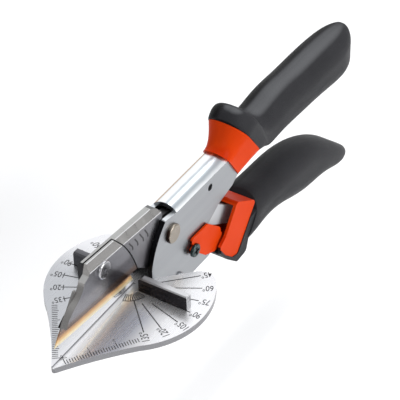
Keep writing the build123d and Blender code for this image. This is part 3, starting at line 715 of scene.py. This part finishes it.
def mesh_piece(name: str, build: bmesh.types.BMesh, material: Material) -> Piece:
    """Turn a bmesh into an object of the scene with flat faces.

    Args:
        name: The piece's name.
        build: The bmesh, which is freed.
        material: The finish of the whole piece.

    Returns:
        The new object.
    """
    data = bpy.data.meshes.new(name)
    bmesh.ops.recalc_face_normals(build, faces=build.faces)
    build.to_mesh(data)
    build.free()
    data.materials.append(material)
    made = bpy.data.objects.new(name, data)
    bpy.context.scene.collection.objects.link(made)
    return made


def add_prism(build: bmesh.types.BMesh, outline: Iterable[Vector], lift: Vector) -> None:
    """Add a closed prism to a bmesh.

    Args:
        build: The bmesh.
        outline: The corners of its foot, in order.
        lift: The way from the foot to the top.
    """
    low = [build.verts.new(point) for point in outline]
    high = [build.verts.new(vert.co + lift) for vert in low]
    build.faces.new(low)
    build.faces.new(reversed(high))
    for index in range(len(low)):
        following = (index + 1) % len(low)
        build.faces.new((low[index], low[following], high[following], high[index]))


def add_stroke(build: bmesh.types.BMesh, stroke: Stroke, normal: Vector, height: float) -> None:
    """Add a thin straight stroke that lies on a surface.

    Args:
        build: The bmesh.
        stroke: The stroke's start, end and width.
        normal: The surface's outward normal.
        height: How far the stroke stands proud.
    """
    start, end, width = stroke
    across = (end - start).cross(normal).normalized() * (width / 2)
    add_prism(build, (start + across, end + across, end - across, start - across), normal * height)


def paint(material: Material, *nodes: str) -> None:
    """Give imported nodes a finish.

    Args:
        material: The finish.
        *nodes: The nodes' names.
    """
    for node in nodes:
        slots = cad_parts[node].data.materials
        slots.clear()
        slots.append(material)


@dataclass
class Engraver:
    """Draws lines and numbers as thin ink that lies on a flat face."""

    material: Material
    height: float = INK_HEIGHT
    tall: float = 1.35
    bold: float = 0.006

    def lines(self, name: str, strokes: Iterable[Stroke], normal: Vector) -> Piece:
        """Make one piece of many strokes.

        Args:
            name: The piece's name.
            strokes: Start, end and width of each stroke.
            normal: The face's outward normal.

        Returns:
            The piece.
        """
        build = bmesh.new()
        for stroke in strokes:
            add_stroke(build, stroke, normal, self.height)
        return mesh_piece(name, build, self.material)

    def number(self, name: str, text: str, place: Vector, turn: float, size: float) -> Piece:
        """Write a number on the plate's top.

        Args:
            name: The piece's name.
            text: The digits and the degree sign.
            place: The middle of the number.
            turn: Its turn about +Z, in degrees.
            size: The width of the letters; they are taller by the field tall.

        Returns:
            The number as a mesh.
        """
        curve = bpy.data.curves.new(name, "FONT")
        curve.body = text
        curve.size = size
        curve.align_x = "CENTER"
        curve.align_y = "CENTER"
        curve.extrude = self.height / 2
        curve.offset = self.bold * size
        letters = bpy.data.objects.new(name, curve)
        bpy.context.scene.collection.objects.link(letters)
        bpy.context.view_layer.update()
        data = bpy.data.meshes.new_from_object(letters)
        bpy.data.objects.remove(letters)
        taller = Matrix.Diagonal((1.0, self.tall, 1.0, 1.0))
        data.transform(Matrix.Translation(place) @ Matrix.Rotation(radians(turn), 4, "Z") @ taller)
        data.materials.clear()
        data.materials.append(self.material)
        made = bpy.data.objects.new(name, data)
        bpy.context.scene.collection.objects.link(made)
        return made


@dataclass
class ProtractorPlate:
    """The heart-shaped plate with its engraved angles and rulers, the fences and their screws."""

    line_width: float = 0.42 * MM
    angles: tuple[tuple[int, float, float], ...] = (
        (45, 10.8, 26.3), (60, 12.0, 26.2), (75, 12.0, 26.1), (90, 12.0, 25.9),
        (105, 12.0, 25.8), (120, 9.8, 25.2), (135, 7.1, 24.6),
    )
    fan_start: float = 92.0
    fan_step: float = 7.5
    fan_spokes: int = 10
    fan_inner: float = 3.65 * MM
    fan_outer: float = 7.3 * MM
    spoke_width: float = 0.294 * MM
    arc_width: float = 0.336 * MM
    label_radius: Span = (28.3 * MM, 27.4 * MM)
    label_size: float = 3.0 * MM
    wide_angle: int = 110
    wide_pull: float = 1.2 * MM
    ruler_tip: Flat = (-45.2 * MM, 2.9 * MM)
    ruler_end: Flat = (-22.4 * MM, 18.9 * MM)
    ticks: int = 28
    per_centimetre: int = 10
    tick_lengths: tuple[float, float, float] = (2.1 * MM, 2.5 * MM, 3.0 * MM)
    tick_width: float = 0.315 * MM
    figures: int = 3
    figure_size: float = 1.7 * MM
    figure_gap: float = 1.275 * MM
    figure_turn: float = 145.0
    ink: Material = field(default_factory=ENGRAVING_INK.make)

    def build(self) -> list[Piece]:
        """Make the engraving and dress the plate.

        Returns:
            The new pieces.
        """
        paint(LEAF_STEEL.make(), "anvil_leaf")
        paint(FENCE_STEEL.make(), "fence_near", "fence_far")
        paint(SCREW_STEEL.make(), "fence_screw_near_inner", "fence_screw_near_outer",
              "fence_screw_far_inner", "fence_screw_far_outer")
        made = [self._lines(), self._rulers(), *self._labels(), *self._figures()]
        for piece in made:
            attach(piece, "frame")
        return made

    def _place(self, radius: float, angle: float, side: Side) -> Vector:
        """A point on the plate's top at a radius and an angle from the handles."""
        turn = radians(angle)
        return Vector((radius * cos(turn), side.value * radius * sin(turn), 0.0))

    def _lines(self) -> Piece:
        """Make the angle lines of both sides and the small fan round the centre.

        Returns:
            One piece of all the lines.
        """
        strokes = []
        for side in Side:
            for angle, start, end in self.angles:
                foot, tip = (self._place(radius * MM, angle, side) for radius in (start, end))
                strokes.append((foot, tip, self.line_width))
            for step in range(1, self.fan_spokes + 1):
                angle = self.fan_start + step * self.fan_step
                outer = self._place(self.fan_outer, angle, side)
                strokes.append((self._place(self.fan_inner, angle, side), outer, self.spoke_width))
                if step < self.fan_spokes:
                    following = self._place(self.fan_outer, angle + self.fan_step, side)
                    strokes.append((outer, following, self.arc_width))
        return Engraver(self.ink).lines("plate_angle_lines", strokes, Vector(UP))

    def _ruler(self, side: Side) -> tuple[Vector, Vector, Vector]:
        """Find where a ruler lies.

        Args:
            side: The side of the plate.

        Returns:
            Its start at the tip, its end at the shoulder and the way from its edge into the plate.
        """
        start = Vector((self.ruler_tip[0], side.value * self.ruler_tip[1], 0.0))
        end = Vector((self.ruler_end[0], side.value * self.ruler_end[1], 0.0))
        return start, end, (end - start).cross(Vector(UP)).normalized() * side.value

    def _tick_length(self, index: int) -> float:
        """Find the length of a tick.

        Args:
            index: The tick's number from the tip.

        Returns:
            The longest at whole centimetres, the middle one at their halves, else the shortest.
        """
        short, middle, long = self.tick_lengths
        if index % self.per_centimetre == 0:
            return long
        return middle if index % (self.per_centimetre // 2) == 0 else short

    def _rulers(self) -> Piece:
        """Make the millimetre ticks along the two front edges.

        Returns:
            One piece of all the ticks.
        """
        strokes = []
        for side in Side:
            start, end, inward = self._ruler(side)
            for index in range(self.ticks + 1):
                foot = start.lerp(end, index / self.ticks)
                strokes.append((foot, foot + inward * self._tick_length(index), self.tick_width))
        return Engraver(self.ink).lines("plate_rulers", strokes, Vector(UP))

    def _labels(self) -> list[Piece]:
        """Write the angle numbers, which read outward on the far side and inward on the near side.

        Returns:
            One piece for each number.
        """
        made = []
        writer = Engraver(self.ink)
        for side, radius in zip(Side, self.label_radius):
            for angle, _, _ in self.angles:
                pull = self.wide_pull if angle > self.wide_angle else 0.0
                place = self._place(radius - pull, angle, side)
                turn = 180.0 - angle if side is Side.NEAR else angle
                name = f"plate_number_{side.name.lower()}_{angle}"
                text = f"{angle}\u00b0"
                made.append(writer.number(name, text, place, turn, self.label_size))
        return made

    def _figures(self) -> list[Piece]:
        """Write the centimetre figures inside the rulers' long ticks.

        Returns:
            One piece for each figure.
        """
        made = []
        writer = Engraver(self.ink)
        for side in Side:
            start, end, inward = self._ruler(side)
            for count in range(self.figures):
                tick = start.lerp(end, self.per_centimetre * count / self.ticks)
                place = tick + inward * (self.tick_lengths[2] + self.figure_gap)
                name = f"plate_figure_{side.name.lower()}_{count}"
                turn = -side.value * self.figure_turn
                made.append(writer.number(name, str(count), place, turn, self.figure_size))
        return made


class ChannelFrame:
    """The steel channel with its block, rivets, pivot and spring."""

    def build(self) -> list[Piece]:
        """Dress the frame's nodes.

        Returns:
            No new pieces.
        """
        paint(CHANNEL_STEEL.make(), "frame_channel")
        paint(BLOCK_STEEL.make(), "anvil_block")
        paint(RIVET_STEEL.make(), "block_rivet_front", "block_rivet_rear", "block_screw_front",
              "block_screw_rear")
        paint(PIVOT_STEEL.make(), "pivot_bolt", "pivot_nut")
        paint(BUSH_BRASS.make(), "pivot_bush")
        paint(SPRING_STEEL.make(), "return_spring")
        return []


@dataclass(frozen=True)
class WornLine:
    """A painted highlight along an edge of the blade head, by its run and rise in millimetres."""

    name: str
    slot: str
    start: float
    end: float
    rise: float
    depth: float
    normal: Point


@dataclass
class BladeHead:
    """The carrier, its clamp, the blade and what holds them."""

    face_depth: float = 3.0 * MM
    marks: tuple[tuple[Flat, Flat], ...] = (
        ((-25.6, 9.5), (-23.2, 6.7)), ((-21.9, 9.3), (-19.9, 6.7)),
        ((-18.8, 9.7), (-16.3, 6.4)), ((-15.5, 9.6), (-13.4, 6.7)),
    )
    mark_width: float = 0.62 * MM
    hook: Flat = (0.3, -1.5)
    hook_width: float = 0.8 * MM
    # Painted highlights along the edges of the carrier and the clamp, laid as thin strips.
    worn_lines: tuple[WornLine, ...] = (
        WornLine("carrier_worn_edge", "carrier_steel", -29.2, -5.0, 11.2, 3.0 * MM, NEAR),
        WornLine("carrier_worn_crown", "carrier_steel", -31.8, -9.2, 14.2, 1.12 * MM, BLADE_UP),
        WornLine("clamp_worn_edge", "clamp_steel", -50.3, -30.2, 11.2, 3.0 * MM, NEAR),
        WornLine("clamp_worn_crown", "clamp_steel", -49.8, -32.8, 14.2, 1.12 * MM, BLADE_UP),
    )
    worn_width: float = 0.36 * MM
    screw_spot: Flat = (-42.0, 8.0)
    screw_face: float = 4.1 * MM
    dimple_radius: float = 0.75 * MM
    dimple_sides: int = 16

    def build(self) -> list[Piece]:
        """Dress the head's nodes, engrave the carrier and lay painted highlights along the edges.

        Returns:
            The new pieces.
        """
        paint(CARRIER_STEEL.make(), "blade_carrier")
        paint(CLAMP_STEEL.make(), "blade_clamp")
        paint(BLADE_STEEL.make(), "blade")
        paint(SCREW_STEEL.make(), "clamp_screw", "blade_pin_front", "blade_pin_rear",
              "carrier_rivet_front", "carrier_rivet_rear")
        made = [(self._marks(), "carrier_steel"), (self._dimple(), "screw_steel")]
        made.extend(self._worn_edges())
        for piece, slot in made:
            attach(piece, "lever")
        return [piece for piece, _ in made]

    def _place(self, spot: Flat, depth: float) -> Vector:
        """Turn a place in the blade's frame into one of the part.

        Args:
            spot: Its run and rise from the pivot, in millimetres.
            depth: How far it lies on the near side.

        Returns:
            The point.
        """
        run_by, rise_by = spot[0] * MM, spot[1] * MM
        return Vector((PIVOT[0] + run_by * BLADE_RUN[0] + rise_by * BLADE_UP[0], -depth,
                       PIVOT[1] + run_by * BLADE_RUN[2] + rise_by * BLADE_UP[2]))

    def _marks(self) -> Piece:
        """Make the four hooked marks on the carrier's near face.

        Returns:
            One piece of all the marks.
        """
        strokes = []
        for start, end in self.marks:
            hooked = (end[0] + self.hook[0], end[1] + self.hook[1])
            top, bend, tip = (self._place(spot, self.face_depth) for spot in (start, end, hooked))
            strokes.extend(((top, bend, self.mark_width), (bend, tip, self.hook_width)))
        return Engraver(MARK_INK.make()).lines("carrier_marks", strokes, Vector(NEAR))

    def _dimple(self) -> Piece:
        """Make the dark disc of painted shade for the recess in the middle of the clamp screw's
        head.

        Returns:
            The disc.
        """
        middle = self._place(self.screw_spot, self.screw_face)
        turns = [radians(360.0 * index / self.dimple_sides) for index in range(self.dimple_sides)]
        rim = [middle + self.dimple_radius * Vector((cos(turn), 0.0, sin(turn))) for turn in turns]
        build = bmesh.new()
        add_prism(build, rim, Vector(NEAR) * INK_HEIGHT)
        return mesh_piece("clamp_screw_recess_shade", build, DIMPLE_SHADE.make())

    def _worn_edges(self) -> list[tuple[Piece, str]]:
        """Make the thin painted highlights along the near and upper edges of the carrier and the
        clamp.

        Returns:
            Each line with the slot named in its entry.
        """
        engraver = Engraver(PAINTED_HIGHLIGHT_STEEL.make())
        made = []
        for line in self.worn_lines:
            start = self._place((line.start, line.rise), line.depth)
            end = self._place((line.end, line.rise), line.depth)
            strokes = [(start, end, self.worn_width)]
            piece = engraver.lines(line.name, strokes, Vector(line.normal))
            made.append((piece, line.slot))
        return made


class Handles:
    """The orange collars, the black grips, the arm and the safety latch."""

    def build(self) -> list[Piece]:
        """Dress the handles' nodes.

        Returns:
            No new pieces.
        """
        paint(ORANGE.make(), "upper_collar", "lower_collar", "latch")
        paint(GRIP.make(), "upper_grip", "lower_grip")
        paint(ARM_STEEL.make(), "lever_arm")
        paint(DARK_STEEL.make(), "latch_screw", "latch_nut")
        return []


@dataclass(frozen=True)
class Lamp:
    """A soft rectangular lamp that faces a target, in metres and watts."""

    name: str
    place: Point
    size: Flat
    power: float
    target: Point = (0.03, 0.0, 0.0)

    def make(self) -> Piece:
        """Add the lamp to the scene.

        Returns:
            The lamp.
        """
        data = bpy.data.lights.new(self.name, "AREA")
        data.shape = "RECTANGLE"
        data.size, data.size_y = self.size
        data.energy = self.power
        lamp = bpy.data.objects.new(self.name, data)
        lamp.location = self.place
        way = Vector(self.target) - Vector(self.place)
        lamp.rotation_euler = way.to_track_quat("-Z", "Y").to_euler()
        bpy.context.scene.collection.objects.link(lamp)
        return lamp


@dataclass
class Studio:
    """Pale floor, soft lights and the camera at the photograph's angle."""

    azimuth: float = -56.22
    elevation: float = 40.067
    roll: float = -2.035
    lens_pixels: float = 3000.0
    image_pixels: float = 400.0
    distance: float = 1.084304
    centre_pixel: Flat = (129.826, 287.608)
    sensor: float = 36.0
    clip: Span = (0.05, 20.0)
    lamps: tuple[Lamp, ...] = (
        Lamp("key", (0.10, -0.75, 0.45), (0.7, 0.35), 6.5),
        Lamp("fill", (-0.75, -0.15, 0.45), (0.5, 0.4), 1.0),
        Lamp("streak", (0.66, 0.01, 0.78), (0.12, 0.7), 3.0, (0.09, 0.0, 0.0)),
    )
    backdrop: Point = (0.636, 0.426, 0.644)
    backdrop_span: Span = (0.35, 0.85)
    surround: Span = (0.45, 1.15)
    sky: Colour = (0.97, 0.98, 1.0)
    floor_z: float = -0.0850
    floor_half: float = 4.0
    floor_colour: Colour = (0.90, 0.90, 0.90)
    floor_roughness: float = 0.8

    def build(self) -> None:
        """Make the camera, the lamps, the world and the floor."""
        self._camera()
        for lamp in self.lamps:
            lamp.make()
        self._world()
        self._floor()

    def _camera(self) -> None:
        """Place the camera so that the plate's centre falls on its pixel."""
        az, el, roll = radians(self.azimuth), radians(self.elevation), radians(self.roll)
        back = Vector((sin(az) * cos(el), -cos(az) * cos(el), sin(el)))
        level = Vector((cos(az), sin(az), 0.0))
        upright = back.cross(level)
        right = cos(roll) * level + sin(roll) * upright
        up = -sin(roll) * level + cos(roll) * upright
        pixel = self.distance / self.lens_pixels
        shift_x = (self.centre_pixel[0] - self.image_pixels / 2) * pixel
        shift_y = (self.image_pixels / 2 - self.centre_pixel[1]) * pixel
        data = bpy.data.cameras.new("camera")
        data.sensor_width = self.sensor
        data.lens = self.lens_pixels / self.image_pixels * self.sensor
        data.clip_start, data.clip_end = self.clip
        camera = bpy.data.objects.new("camera", data)
        place = Matrix.Translation(self.distance * back - shift_x * right - shift_y * up)
        camera.matrix_world = place @ Matrix((right, up, back)).transposed().to_4x4()
        bpy.context.scene.collection.objects.link(camera)
        bpy.context.scene.camera = camera
        bpy.context.scene.view_settings.view_transform = "Standard"

    def _world(self) -> None:
        """Make a surround that is bright in a wide patch behind the tool and dimmer elsewhere."""
        world = bpy.data.worlds.new("studio")
        world.use_nodes = True
        tree = world.node_tree
        background = tree.nodes["Background"]
        place = add_node(tree, "TexCoord")
        toward = add_node(tree, "VectorMath", operation="DOT_PRODUCT")
        toward.inputs[1].default_value = self.backdrop
        spans = (*self.backdrop_span, *self.surround)
        ramp = add_map(tree, spans, interpolation_type="SMOOTHSTEP")
        join(
            tree,
            (place.outputs["Generated"], toward.inputs[0]),
            (toward.outputs["Value"], ramp.inputs["Value"]),
            (ramp.outputs["Result"], background.inputs["Strength"]),
        )
        background.inputs["Color"].default_value = opaque(self.sky)
        bpy.context.scene.world = world

    def _floor(self) -> None:
        """Make a plain pale floor under the tool."""
        build = bmesh.new()
        bmesh.ops.create_grid(build, x_segments=1, y_segments=1, size=self.floor_half)
        for vert in build.verts:
            vert.co.z = self.floor_z
        made, _, shader = new_material("floor_paint")
        shader.inputs["Base Color"].default_value = opaque(self.floor_colour)
        shader.inputs["Roughness"].default_value = self.floor_roughness
        mesh_piece("floor", build, made)


def main() -> None:
    """Build each sub-assembly in order and report its pieces."""
    logging.basicConfig(level=logging.INFO, format="%(name)s: %(message)s")
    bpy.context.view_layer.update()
    for part in (ProtractorPlate(), ChannelFrame(), BladeHead(), Handles()):
        pieces = part.build()
        LOG.info("%s: %d new pieces", type(part).__name__, len(pieces))
        for piece in pieces:
            LOG.info("  %s", piece.name)
    Studio().build()


if __name__ == "__main__":
    main()
